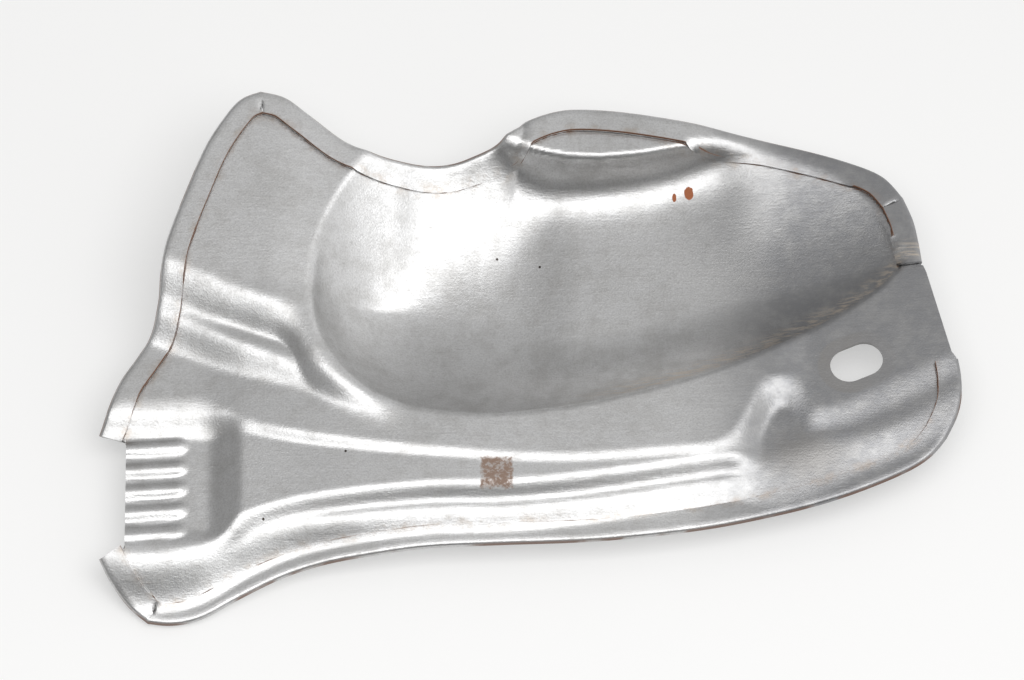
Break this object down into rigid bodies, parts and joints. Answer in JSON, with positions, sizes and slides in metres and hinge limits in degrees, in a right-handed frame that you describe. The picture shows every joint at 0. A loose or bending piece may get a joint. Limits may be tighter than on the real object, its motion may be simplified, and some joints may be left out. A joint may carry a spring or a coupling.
{
  "type": "heat shield",
  "caption": "Pressed sheet-steel heat shield with a deep bowl, a long stiffening bead, a ribbed foot, a slotted bolt seat and a hemmed rim, lying hem side up.",
  "frame": {"origin": "middle of the bolt slot, on the hem side of the bolt seat", "axes": "+Z is the bolt seat's normal, away from the surface that the shield lies on; +Y runs along the bolt slot; the ribbed foot is towards -Y and the bowl is on the -X side of the bead"},
  "size_m": [0.1533, 0.2165, 0.0234],
  "materials": {
    "aluminised_steel": "satin, worn, with light scratches and a few spots of rust"
  },
  "bodies": {
    "root": {"heat_shield": "aluminised_steel"}
  },
  "joints": []
}
